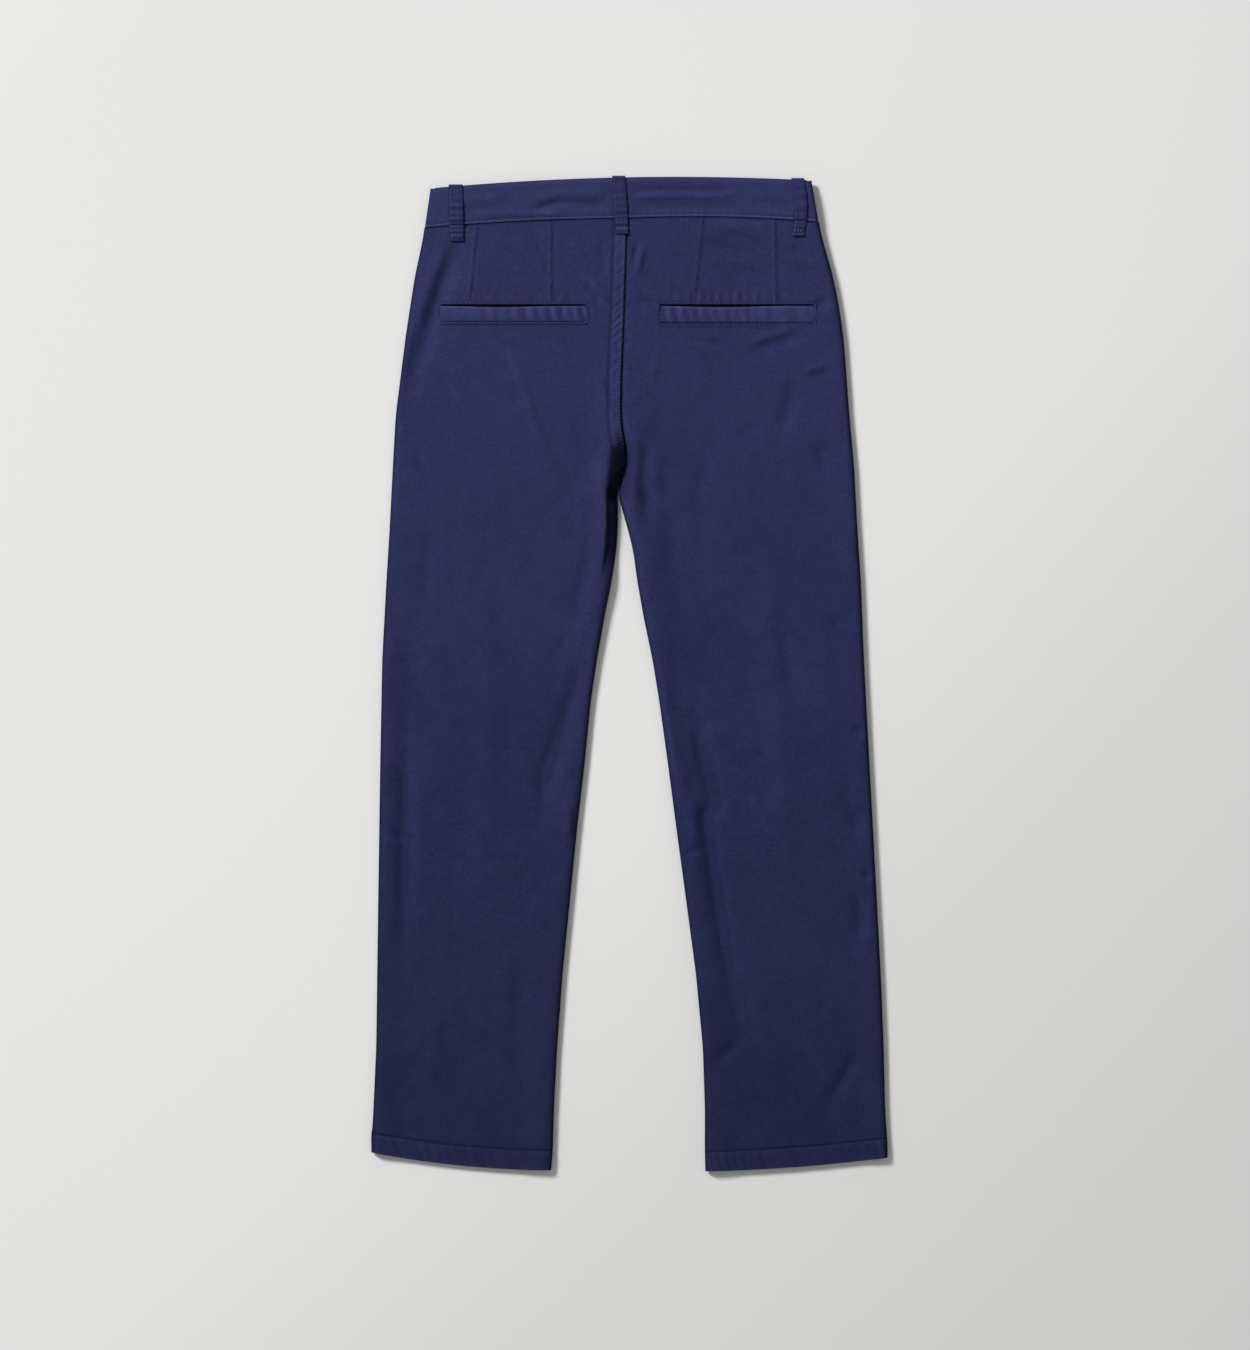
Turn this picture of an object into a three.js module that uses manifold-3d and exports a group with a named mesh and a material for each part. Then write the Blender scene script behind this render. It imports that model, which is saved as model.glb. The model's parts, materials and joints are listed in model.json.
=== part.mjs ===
// Chino trousers lying flat on a table, back upwards, legs a little apart.
//
// Frame: millimetres, +Z up, +Y from the hems towards the waist, +X to the wearer's right.
// The origin is on the table, below the middle of the outline. Everything is one soft body:
// two back panels lie on two front panels, a waistband closes the top, and belt loops, pocket
// welts, the fly and its button lie on those.
//
// Every piece is a wall of cloth. A panel is lofted through cross-sections from waist to hem,
// and a cross-section runs from the side seam to the inner seam, which is the seat seam or the
// centre front above the crotch and the inseam below it.

import * as THREE from "three";
import Module from "manifold-3d";

// ---------------------------------------------------------------- driving dimensions

const CLOTH = 1.2; // wall of a single panel
const HEM_CLOTH = 1.7; // wall where the hem is turned up
const BAND_CLOTH = 2.2; // waistband: two layers and their interlining
const STRIP_CLOTH = 1.1; // belt loops, welts and fly
const SEAM_GAP = 0.3; // between two pieces at a seam
const ON_PANEL_GAP = 0.5; // between a panel and what lies on it

const LENGTH = 996; // top of the centre back loop to the lowest hem corner
const SIDE_ROLL = 5.5; // how far a side fold takes to reach its full height
const SIDE_FALL = 24; // from the top of that fold down to the flat middle
const FORK_FALL = 34; // the same beside the inner seam
const FLY_WIDTH = 36;
const FLY_LENGTH = 165;
const FLY_LAP = 5; // how far the fly's edge passes the centre front
const FLY_LIFT = 1.7; // the fronts ride up over the fly by this much
const BUTTON_RADIUS = 8.5;

// ---------------------------------------------------------------- tables

// Turns rows of numbers into objects with the named columns.
const table = (columns, rows) =>
  rows.map((row) => Object.fromEntries(columns.map((name, i) => [name, row[i]])));

// Where each cross-section crosses the inner seam and the side fold of a back panel, from the
// waist seam to the hem. bow lifts the middle of the section towards the waist.
const CUT_COLUMNS = ["innerX", "innerY", "sideX", "sideY", "bow"];
const LEFT_CUT = table(CUT_COLUMNS, [
  [-2.0, 455.0, -204.7, 445.5, 2.0],
  [-2.7, 434.0, -208.5, 426.0, 1.0],
  [-3.5, 399.0, -215.0, 396.0, 0],
  [-4.7, 369.0, -219.2, 369.0, 0],
  [-6.1, 334.0, -224.5, 334.0, 0],
  [-7.7, 294.0, -229.5, 294.0, 0],
  [-8.3, 259.0, -234.0, 259.0, 0],
  [-6.5, 240.0, -235.5, 240.0, 0],
  [-3.0, 224.0, -236.5, 222.0, 0],
  [-2.0, 210.0, -237.0, 206.0, 0],
  [-4.5, 196.0, -237.5, 192.0, 0],
  [-12.0, 184.5, -238.5, 180.0, 0],
  [-11.5, 169.0, -239.5, 166.0, 0],
  [-11.0, 149.0, -240.0, 146.0, 0],
  [-12.5, 124.0, -241.3, 122.0, 0],
  [-17.5, 94.0, -243.3, 93.0, 0],
  [-25.5, 54.0, -245.0, 54.0, 0],
  [-32.5, 14.0, -247.5, 14.0, 0],
  [-38.5, -26.0, -248.5, -26.0, 0],
  [-45.0, -91.0, -249.5, -91.0, 0],
  [-52.5, -156.0, -250.5, -156.0, 0],
  [-59.5, -226.0, -251.5, -226.0, 0],
  [-67.0, -301.0, -251.8, -301.0, 0],
  [-72.5, -376.0, -253.5, -374.0, -1.0],
  [-75.7, -438.0, -256.0, -430.0, -2.0],
  [-76.5, -474.0, -257.3, -460.0, -3.0],
  [-76.7, -478.0, -257.6, -463.5, -3.2],
  [-78.5, -496.5, -258.5, -479.0, -4.5],
]);
const RIGHT_CUT = table(CUT_COLUMNS, [
  [-2.0, 455.0, 189.0, 451.0, 3.3],
  [-2.7, 434.0, 194.0, 431.0, 1.5],
  [-3.5, 399.0, 203.5, 398.0, 0],
  [-4.7, 369.0, 209.8, 367.0, 0],
  [-6.1, 334.0, 214.5, 334.0, 0],
  [-7.7, 294.0, 217.5, 294.0, 0],
  [-8.3, 259.0, 220.0, 259.0, 0],
  [-6.5, 240.0, 222.0, 240.0, 0],
  [-3.0, 224.0, 223.5, 224.0, 0],
  [-2.0, 210.0, 224.8, 208.0, 0],
  [-4.5, 196.0, 225.5, 194.0, 0],
  [-12.0, 184.5, 226.5, 182.0, 0],
  [-9.0, 169.0, 227.0, 167.0, 0],
  [-3.0, 149.0, 228.0, 147.0, 0],
  [3.5, 124.0, 229.5, 124.0, 0],
  [7.5, 94.0, 231.5, 94.0, 0],
  [14.5, 54.0, 232.8, 54.0, 0],
  [23.0, 14.0, 234.7, 14.0, 0],
  [29.5, -26.0, 236.5, -26.0, 0],
  [38.5, -91.0, 240.2, -91.0, 0],
  [47.0, -156.0, 243.8, -156.0, 0],
  [56.5, -226.0, 247.5, -226.0, 0],
  [66.5, -301.0, 251.5, -301.0, 0],
  [73.5, -376.0, 254.5, -376.0, 0],
  [75.5, -438.0, 255.8, -434.0, -1.0],
  [75.3, -475.5, 257.3, -461.0, -2.0],
  [75.3, -479.0, 257.6, -465.0, -2.2],
  [76.0, -LENGTH / 2, 258.5, -484.0, -2.6],
]);

// Heights above the table along the same cross-sections. base is the underside of the front,
// fold the side fold's outermost point, ridge the top of the roll beside it, middle the flat
// of the back panel, fork the roll beside the inner seam, seam the inner seam itself, and
// front how far the front's inner edge stands above its base.
const HEIGHT_COLUMNS = ["base", "fold", "ridge", "middle", "fork", "seam", "front"];
const HEIGHTS = table(HEIGHT_COLUMNS, [
  [3.3, 6.0, 8.9, 8.4, 8.6, 8.1, 0],
  [2.7, 5.4, 8.7, 8.1, 8.3, 7.8, 0],
  [1.4, 4.4, 8.0, 7.2, 7.4, 6.8, 0],
  [0.5, 3.8, 7.4, 6.8, 7.0, 6.2, 0],
  [0, 3.5, 7.0, 6.4, 7.0, 6.0, 0],
  [0, 3.3, 6.8, 6.1, 7.4, 5.9, 0],
  [0, 3.3, 6.8, 6.0, 8.6, 5.8, 0.2],
  [0, 3.3, 6.8, 6.0, 10.0, 5.7, 0.5],
  [0, 3.3, 6.8, 6.0, 11.4, 5.4, 0.8],
  [0, 3.3, 6.8, 6.0, 12.6, 5.1, 1.0],
  [0, 3.3, 6.8, 6.0, 13.4, 4.6, 1.2],
  [0, 3.3, 6.8, 6.0, 13.8, 3.3, 3.3],
  [0, 3.3, 6.8, 6.0, 13.6, 3.3, 3.3],
  [0, 3.3, 6.8, 6.0, 13.0, 3.3, 3.3],
  [0, 3.3, 6.8, 5.9, 12.0, 3.3, 3.3],
  [0, 3.3, 6.8, 5.8, 10.4, 3.3, 3.3],
  [0, 3.3, 6.8, 5.6, 8.8, 3.3, 3.3],
  [0, 3.3, 6.8, 5.4, 7.8, 3.3, 3.3],
  [0, 3.3, 6.8, 5.2, 7.2, 3.3, 3.3],
  [0, 3.3, 6.7, 5.0, 6.9, 3.3, 3.3],
  [0, 3.3, 6.6, 4.9, 6.8, 3.3, 3.3],
  [0, 3.3, 6.5, 4.8, 6.7, 3.3, 3.3],
  [0, 3.3, 6.5, 4.7, 6.6, 3.3, 3.3],
  [0, 3.3, 6.4, 4.6, 6.5, 3.3, 3.3],
  [0, 3.3, 6.4, 4.6, 6.4, 3.3, 3.3],
  [0, 3.3, 6.4, 4.7, 6.4, 3.3, 3.3],
  [0, 3.3, 6.6, 5.0, 6.6, 3.3, 3.3],
  [0, 3.3, 6.5, 5.0, 6.5, 3.3, 3.3],
]);
const CROTCH_ROW = 11; // the section through the crotch point
const FLY_ROW = 8; // the first section below the fly
const HEM_ROW = 26; // the first section of the turned-up hem

// The centre front, from the waist seam to the crotch: the same rows, on the front panels.
const FRONT_WAIST_DROP = 12; // the front waist seam lies this far below the back one
const FRONT_WAIST_FADE = 70; // and the sections below it are level again after this length

// Waistband: where its folds and its top edge lie.
const BAND = {
  left: { seamX: -204.7, seamY: 445.5, topX: -199.0, topY: 485.0 },
  right: { seamX: 189.0, seamY: 451.0, topX: 182.0, topY: 493.0 },
  topBow: 7.0,
  fold: 6.2,
  ridge: 9.6,
  middle: 9.1,
  roll: 3.5,
  fall: 20,
  frontDrop: 9, // the front's top edge bows down by this much
};

// Belt loops: the top and bottom of the centreline, a sideways bow and the width.
const LOOP_COLUMNS = ["name", "topX", "bottomX", "length", "bow", "width"];
const BACK_LOOPS = table(LOOP_COLUMNS, [
  ["belt_loop_centre_back", -10.8, -7.2, 58.5, 0, 13.0],
  ["belt_loop_back_left", -173.7, -172.3, 57.0, 0, 14.0],
  ["belt_loop_back_right", 168.0, 168.3, 58.5, 3.0, 13.0],
]);
const FRONT_LOOPS = table(LOOP_COLUMNS, [
  ["belt_loop_front_left", -112.0, -112.0, 57.0, 0, 13.0],
  ["belt_loop_front_right", 98.0, 98.0, 57.0, 0, 13.0],
]);
const LOOP_OVERHANG = 1.6; // a back loop's folded end stands above the band's top edge

// Back pockets: the window in each back panel, which its welt fills but for the mouth.
const POCKETS = {
  left: { x0: -188.0, x1: -45.0, y0: 352.0, y1: 368.2 },
  right: { x0: 31.5, x1: 183.5, y0: 351.0, y1: 368.2 },
};
const MOUTH = 1.2; // open gap above a welt
const WELT_DROP = 0.4; // a welt's face lies this far below the panel's

// ---------------------------------------------------------------- small mathematics

const lerp = (a, b, t) => a + (b - a) * t;
const smooth = (t) => t * t * (3 - 2 * t);
const clamp01 = (t) => Math.min(1, Math.max(0, t));
const arch = (t) => 4 * t * (1 - t); // 0 at both ends, 1 in the middle

// A height read off a profile, which is a list of [distance, height] points in order.
function readProfile(profile, distance) {
  const i = profile.findIndex(([d]) => d >= distance);
  if (i <= 0) return profile[i === 0 ? 0 : profile.length - 1][1];
  const [d0, z0] = profile[i - 1];
  const [d1, z1] = profile[i];
  return lerp(z0, z1, (distance - d0) / (d1 - d0));
}

// The points of a profile moved square to it by a wall's thickness, towards side (+1 or -1 of
// the left normal). A fold's end is moved level, so that the two walls of a seam stay parallel.
function moved(profile, wall, side, foldAtStart, foldAtEnd) {
  const last = profile.length - 1;
  return profile.map(([d, z], i) => {
    const [d0, z0] = profile[Math.max(0, i - 1)];
    const [d1, z1] = profile[Math.min(last, i + 1)];
    const size = Math.hypot(d1 - d0, z1 - z0);
    let [nd, nz] = [(-(z1 - z0) * side) / size, ((d1 - d0) * side) / size];
    if ((i === 0 && foldAtStart) || (i === last && foldAtEnd)) {
      [nd, nz] = [i === 0 ? 1 : -1, 0];
    }
    return [d + nd * wall, z + nz * wall];
  });
}

// A closed wall through rings. A ring is { outer, inner }: two rows of points, the same number
// in every ring, that face each other through the wall.
function loft(rings) {
  const columns = rings[0].outer.length;
  const around = columns * 2;
  const positions = [];
  for (const { outer, inner } of rings) {
    for (const p of [...outer, ...[...inner].reverse()]) positions.push(p.x, p.y, p.z);
  }
  const faces = [];
  const quad = (a, b, c, d) => faces.push(a, b, c, a, c, d);
  for (let r = 0; r < rings.length - 1; r++) {
    for (let i = 0; i < around; i++) {
      const j = (i + 1) % around;
      quad(r * around + i, r * around + j, (r + 1) * around + j, (r + 1) * around + i);
    }
  }
  const end = (rings.length - 1) * around;
  for (let i = 0; i < columns - 1; i++) {
    const [a, b, c, d] = [i, i + 1, around - 2 - i, around - 1 - i];
    quad(d, c, b, a);
    quad(end + a, end + b, end + c, end + d);
  }
  const geometry = new THREE.BufferGeometry();
  geometry.setAttribute("position", new THREE.Float32BufferAttribute(positions, 3));
  geometry.setIndex(facingOut(positions, faces));
  geometry.computeVertexNormals();
  return geometry;
}

// Turns every face round if together they enclose a negative volume.
function facingOut(positions, faces) {
  const at = (i) => new THREE.Vector3().fromArray(positions, i * 3);
  let volume = 0;
  for (let i = 0; i < faces.length; i += 3) {
    volume += at(faces[i]).dot(at(faces[i + 1]).cross(at(faces[i + 2])));
  }
  return volume > 0 ? faces : faces.reverse();
}

// ---------------------------------------------------------------- cutting

const manifold = await Module();
manifold.setup();

// Cuts a box-shaped window through a geometry.
function withWindow(geometry, low, high) {
  const body = new manifold.Manifold(
    new manifold.Mesh({
      numProp: 3,
      vertProperties: new Float32Array(geometry.getAttribute("position").array),
      triVerts: new Uint32Array(geometry.index.array),
    }),
  );
  const size = high.map((value, axis) => value - low[axis]);
  const hole = manifold.Manifold.cube(size).translate(low);
  const mesh = body.subtract(hole).getMesh();
  const cut = new THREE.BufferGeometry();
  cut.setAttribute("position", new THREE.Float32BufferAttribute(mesh.vertProperties, 3));
  cut.setIndex([...mesh.triVerts]);
  cut.computeVertexNormals();
  return cut;
}

// ---------------------------------------------------------------- cloth colours

const twill = new THREE.MeshStandardMaterial({ color: 0x2f3255, roughness: 0.85 });
const bandTwill = new THREE.MeshStandardMaterial({ color: 0x31345a, roughness: 0.85 });
const horn = new THREE.MeshStandardMaterial({ color: 0x23263f, roughness: 0.45 });

// ---------------------------------------------------------------- cross-sections

// A roll beside an edge, from the edge inwards: shares of its width and of its height. A fold
// leaves the edge straight up, and a sewn seam leaves it at a slope.
const ROLL_STEPS = 4;
function roll(isFold) {
  return Array.from({ length: ROLL_STEPS + 1 }, (_, i) => {
    const share = i / ROLL_STEPS;
    const angle = (share * Math.PI) / 2;
    return isFold ? [1 - Math.cos(angle), Math.sin(angle)] : [share, Math.sin(angle)];
  });
}

const forkRoll = (h) => 4 + 0.9 * (h.fork - h.seam); // a higher roll is a wider one
const widthOf = (cut) => Math.hypot(cut.innerX - cut.sideX, cut.innerY - cut.sideY);

// The outer face of a back panel at one row, as [distance from the side fold, height].
function backProfile(cut, h, row) {
  const width = widthOf(cut);
  const inner = forkRoll(h);
  const side = roll(true).map(([d, z]) => [d * SIDE_ROLL, lerp(h.fold, h.ridge, z)]);
  const fork = roll(row >= CROTCH_ROW)
    .map(([d, z]) => [width - d * inner, lerp(h.seam, h.fork, z)])
    .reverse();
  const flat = [SIDE_ROLL + SIDE_FALL, width - inner - FORK_FALL];
  return [
    ...side,
    [SIDE_ROLL + SIDE_FALL / 2, (h.ridge + h.middle) / 2],
    [flat[0], h.middle],
    ...[1, 2].map((i) => [lerp(...flat, i / 3), h.middle]),
    [flat[1], h.middle],
    [width - inner - FORK_FALL / 2, (h.fork + h.middle) / 2],
    ...fork,
  ];
}

// The outer face of a front panel at one row, which is its underside.
function frontProfile(cut, h, row) {
  const width = widthOf(cut);
  const side = roll(true).map(([d, z]) => [d * SIDE_ROLL, lerp(h.fold, h.base, z)]);
  const middle = [0.3, 0.6].map((share) => [width * share, h.base]);
  if (row >= CROTCH_ROW) {
    const inner = roll(true)
      .map(([d, z]) => [width - d * SIDE_ROLL, lerp(h.base + h.front, h.base, z)])
      .reverse();
    return [...side, ...middle, ...inner];
  }
  const lift = FLY_LIFT * smooth(clamp01((FLY_ROW - row) / 2));
  const reach = [
    [FLY_WIDTH + 24, 0],
    [FLY_WIDTH + 4, lift],
    [FLY_WIDTH / 2, lift],
    [SIDE_ROLL, lift + h.front * 0.3],
    [0, lift + h.front],
  ];
  return [...side, ...middle, ...reach.map(([e, z]) => [width - e, h.base + z])];
}

// Puts a [distance, height] point of a row in place.
function placed(cut, [distance, height]) {
  const share = distance / widthOf(cut);
  return new THREE.Vector3(
    lerp(cut.sideX, cut.innerX, share),
    lerp(cut.sideY, cut.innerY, share) + cut.bow * arch(clamp01(share)),
    height,
  );
}

// Draws both ends of a profile back by half a seam gap.
function drawnBack(profile) {
  const half = SEAM_GAP / 2;
  const pull = ([d0, z0], [d1, z1]) => {
    const size = Math.hypot(d1 - d0, z1 - z0);
    return [d0 + ((d1 - d0) * half) / size, z0 + ((z1 - z0) * half) / size];
  };
  const last = profile.length - 1;
  return profile.map((point, i) => {
    if (i === 0) return pull(point, profile[1]);
    return i === last ? pull(point, profile[last - 1]) : point;
  });
}

// ---------------------------------------------------------------- panels

// The front lies on the same side folds. Its waist seam is lower than the back's, and its
// sections are level with the back's again below the fade.
function frontCut(backCut) {
  return backCut.map((cut, row) => {
    const below = backCut[0].innerY - cut.innerY;
    const drop = FRONT_WAIST_DROP * (1 - smooth(clamp01(below / FRONT_WAIST_FADE)));
    const centreX = lerp(-4, LEFT_CUT[CROTCH_ROW].innerX, clamp01(row / CROTCH_ROW));
    return {
      ...cut,
      innerX: row < CROTCH_ROW ? centreX : cut.innerX,
      innerY: cut.innerY - drop,
      bow: cut.bow - drop * 0.5,
    };
  });
}

function panel(cuts, profileOf, wallSide) {
  const rings = cuts.map((cut, row) => {
    const wall = row >= HEM_ROW ? HEM_CLOTH : CLOTH;
    const profile = drawnBack(profileOf(cut, HEIGHTS[row], row));
    const inside = moved(profile, wall, wallSide, true, row >= CROTCH_ROW);
    const shift = row === 0 ? -SEAM_GAP / 2 : 0; // clear of the waistband
    const place = (point) => placed(cut, point).add(new THREE.Vector3(0, shift, 0));
    return { outer: profile.map(place), inner: inside.map(place) };
  });
  return loft(rings);
}

// The height of a back panel's outer face at a point of the plan.
function backHeight(cuts, x, y) {
  const at = (row) => {
    const cut = cuts[row];
    const share = clamp01((x - cut.sideX) / (cut.innerX - cut.sideX));
    return {
      y: lerp(cut.sideY, cut.innerY, share) + cut.bow * arch(share),
      z: readProfile(backProfile(cut, HEIGHTS[row], row), share * widthOf(cut)),
    };
  };
  let row = 0;
  while (row < cuts.length - 2 && at(row + 1).y > y) row++;
  const [above, below] = [at(row), at(row + 1)];
  return lerp(above.z, below.z, clamp01((above.y - y) / (above.y - below.y)));
}

// ---------------------------------------------------------------- waistband

// The waist seam and the band's top edge, as heights in Y over X.
function edgeY(left, right, bow, x) {
  const share = clamp01((x - left[0]) / (right[0] - left[0]));
  return lerp(left[1], right[1], share) + bow * arch(share);
}

function backWaistSeam(x) {
  const cut = (x < LEFT_CUT[0].innerX ? LEFT_CUT : RIGHT_CUT)[0];
  return edgeY([cut.sideX, cut.sideY], [cut.innerX, cut.innerY], cut.bow, x);
}

function frontWaistSeam(x) {
  const cut = frontCut(x < -4 ? LEFT_CUT : RIGHT_CUT)[0];
  return edgeY([cut.sideX, cut.sideY], [cut.innerX, cut.innerY], cut.bow, x);
}

const bandTop = (bow) => (x) =>
  edgeY([BAND.left.topX, BAND.left.topY], [BAND.right.topX, BAND.right.topY], bow, x);
const backBandTop = bandTop(BAND.topBow);
const frontBandTop = bandTop(-BAND.frontDrop);

// The band's outer face over its folds, as [distance from a fold, height] shares.
function bandRoll(height) {
  return roll(true).map(([d, z]) => [d * BAND.roll, lerp(BAND.fold, height, z)]);
}

// A band between two ends, each a fold or a cut end, in four rows from its seam to its top.
function band(leftEnd, rightEnd, seamY, topY, heights, wallSide) {
  const rows = [0, 1 / 3, 2 / 3, 1];
  const rings = rows.map((share) => {
    const x0 = lerp(leftEnd.seamX, leftEnd.topX, share);
    const x1 = lerp(rightEnd.seamX, rightEnd.topX, share);
    const width = x1 - x0;
    const { ridge, middle } = heights;
    const left = leftEnd.isFold ? bandRoll(ridge) : [[0, middle]];
    const right = (rightEnd.isFold ? bandRoll(ridge) : [[0, middle]]).map(([d, z]) => [
      width - d,
      z,
    ]);
    const flat = Array.from({ length: 9 }, (_, i) => [
      lerp(BAND.fall, width - BAND.fall, i / 8),
      middle,
    ]);
    const profile = drawnBack([...left, ...flat, ...right.reverse()]);
    const inside = moved(profile, BAND_CLOTH, wallSide, leftEnd.isFold, rightEnd.isFold);
    const place = ([d, z]) => {
      const x = x0 + d;
      const low = seamY(x) + SEAM_GAP;
      return new THREE.Vector3(x, lerp(low, topY(x), share), z);
    };
    return { outer: profile.map(place), inner: inside.map(place) };
  });
  return loft(rings);
}

// ---------------------------------------------------------------- belt loops

// A loop runs over the band's top edge, down the band and onto the panel. Its path is a list
// of [distance below the band's top edge, height of its outer face].
function loopPath(length, ground, up, arched, overhang) {
  const stops = [2, 8, 18, 28, 36, 42, 48, length - LOOP_OVERHANG];
  const lift = (s) => ON_PANEL_GAP + arched * Math.sin((Math.PI * s) / length) ** 2;
  const path = stops.map((s) => [s, ground(s) + up * (lift(s) + STRIP_CLOTH)]);
  const top = ground(0) + up * (ON_PANEL_GAP + STRIP_CLOTH * 0.6);
  return overhang
    ? [[-overhang, ground(0) - up * BAND_CLOTH], [-overhang, top - up * 0.8], [-0.4, top + up * 0.3], ...path]
    : [[0.6, top], ...path];
}

function beltLoop(loop, topY, ground, up, arched, overhang) {
  const path = loopPath(loop.length, ground, up, arched, overhang);
  const inside = moved(path, STRIP_CLOTH, -up, false, false);
  const rings = path.map((outerPoint, i) => {
    const t = clamp01(outerPoint[0] / loop.length);
    const centre = lerp(loop.topX, loop.bottomX, t) + loop.bow * arch(t);
    const row = ([s, z]) =>
      [-0.5, 0.5].map((share) => new THREE.Vector3(centre + share * loop.width, topY - s, z));
    return { outer: row(outerPoint), inner: row(inside[i]) };
  });
  return loft(rings);
}

function backLoop(loop) {
  const topY = backBandTop(loop.topX);
  const cuts = loop.topX < LEFT_CUT[0].innerX ? LEFT_CUT : RIGHT_CUT;
  const seam = topY - backWaistSeam(loop.topX);
  const ground = (s) => (s < seam ? BAND.middle : backHeight(cuts, loop.bottomX, topY - s));
  return beltLoop(loop, topY, ground, 1, 1.0, LOOP_OVERHANG);
}

function frontLoop(loop) {
  const topY = frontBandTop(loop.topX);
  const seam = topY - frontWaistSeam(loop.topX);
  const ground = (s) => (s < seam ? HEIGHTS[0].base : lerp(3.2, 2.9, clamp01((s - seam) / 12)));
  return beltLoop(loop, topY, ground, -1, 1.2, 0);
}

// ---------------------------------------------------------------- welts, fly, button

// A welt follows the points of the panel around it, let in by the drop.
function welt({ x0, x1, y0, y1 }, cuts) {
  const steps = 14;
  const [low, high] = [y0 + SEAM_GAP, y1 - MOUTH];
  const rings = Array.from({ length: steps + 1 }, (_, i) => {
    const x = lerp(x0 + SEAM_GAP, x1 - SEAM_GAP, i / steps);
    const row = (drop) =>
      [0, 0.5, 1].map((share) => {
        const y = lerp(low, high, share);
        return new THREE.Vector3(x, y, backHeight(cuts, x, y) - drop);
      });
    return { outer: row(WELT_DROP), inner: row(WELT_DROP + STRIP_CLOTH) };
  });
  return loft(rings);
}

// A back panel with the window of its pocket.
function backPanel(cuts, { x0, x1, y0, y1 }) {
  const [low, high] = [[x0, y0, 4], [x1, y1, 12]];
  return withWindow(panel(cuts, backProfile, -1), low, high);
}

// The fly is the left front's edge lapped over the right front: straight at the centre, with a
// rounded end, on the underside of the fronts.
function fly() {
  const centreX = (y) => lerp(-12, -4, (y - 184.5) / (455 - 184.5));
  const top = frontWaistSeam(-6) - 1;
  const stops = [0, 0.15, 0.3, 0.45, 0.6, 0.75, 0.85, 0.93, 0.98, 1];
  const cuts = frontCut(LEFT_CUT);
  const rings = stops.map((share) => {
    const y = top - share * FLY_LENGTH;
    const row = cuts.findIndex((cut) => cut.innerY <= y);
    const t = (cuts[row - 1].innerY - y) / (cuts[row - 1].innerY - cuts[row].innerY);
    const [above, below] = [row - 1, row].map((r) => {
      const h = HEIGHTS[r];
      return h.base + FLY_LIFT * smooth(clamp01((FLY_ROW - r) / 2));
    });
    const under = lerp(above, below, t) - ON_PANEL_GAP;
    const end = clamp01((share - 0.7) / 0.3);
    const width = FLY_WIDTH * Math.sqrt(1 - end * end * 0.92);
    const edge = centreX(y) + FLY_LAP;
    const points = (z) =>
      [0, 0.5, 1].map((part) => {
        const x = edge - part * width;
        return new THREE.Vector3(x, y + (frontWaistSeam(x) - 1 - top) * (1 - share), z);
      });
    return { outer: points(under - STRIP_CLOTH), inner: points(under) };
  });
  return loft(rings);
}

// A flat sew-through button with a raised rim.
function button() {
  const r = BUTTON_RADIUS;
  const profile = [
    [0, 0.7],
    [r * 0.62, 0.7],
    [r * 0.74, 0],
    [r * 0.92, 0.1],
    [r, 0.9],
    [r * 0.92, 2.1],
    [0, 2.4],
  ].map(([x, y]) => new THREE.Vector2(x, y));
  return new THREE.LatheGeometry(profile, 28).rotateX(Math.PI / 2);
}

// ---------------------------------------------------------------- assembly

const trousers = new THREE.Group();

function add(name, geometry, material) {
  const mesh = new THREE.Mesh(geometry, material);
  mesh.name = name;
  trousers.add(mesh);
  return mesh;
}

add("back_left", backPanel(LEFT_CUT, POCKETS.left), twill);
add("back_right", backPanel(RIGHT_CUT, POCKETS.right), twill);
add("front_left", panel(frontCut(LEFT_CUT), frontProfile, 1), twill);
add("front_right", panel(frontCut(RIGHT_CUT), frontProfile, 1), twill);

const backHeights = { ridge: BAND.ridge, middle: BAND.middle };
const frontHeights = { ridge: HEIGHTS[0].base, middle: HEIGHTS[0].base };
const [leftFold, rightFold] = [BAND.left, BAND.right].map((end) => ({ ...end, isFold: true }));
const centreFront = { seamX: 1, topX: 1, isFold: false };
add("waistband_back", band(leftFold, rightFold, backWaistSeam, backBandTop, backHeights, -1), bandTwill);
add(
  "waistband_front_left",
  band(leftFold, centreFront, frontWaistSeam, frontBandTop, frontHeights, 1),
  bandTwill,
);
add(
  "waistband_front_right",
  band(centreFront, rightFold, frontWaistSeam, frontBandTop, frontHeights, 1),
  bandTwill,
);

for (const loop of BACK_LOOPS) add(loop.name, backLoop(loop), bandTwill);
for (const loop of FRONT_LOOPS) add(loop.name, frontLoop(loop), bandTwill);
add("pocket_welt_left", welt(POCKETS.left, LEFT_CUT), twill);
add("pocket_welt_right", welt(POCKETS.right, RIGHT_CUT), twill);
add("fly", fly(), twill);

const disc = add("waist_button", button(), horn);
disc.position.set(-18, 460, 0.2);

// The outline's middle goes over the origin.
const outline = new THREE.Box3().setFromObject(trousers, true);
const middle = outline.getCenter(new THREE.Vector3());
trousers.position.set(-middle.x, -middle.y, -outline.min.z);

export default trousers;
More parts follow.
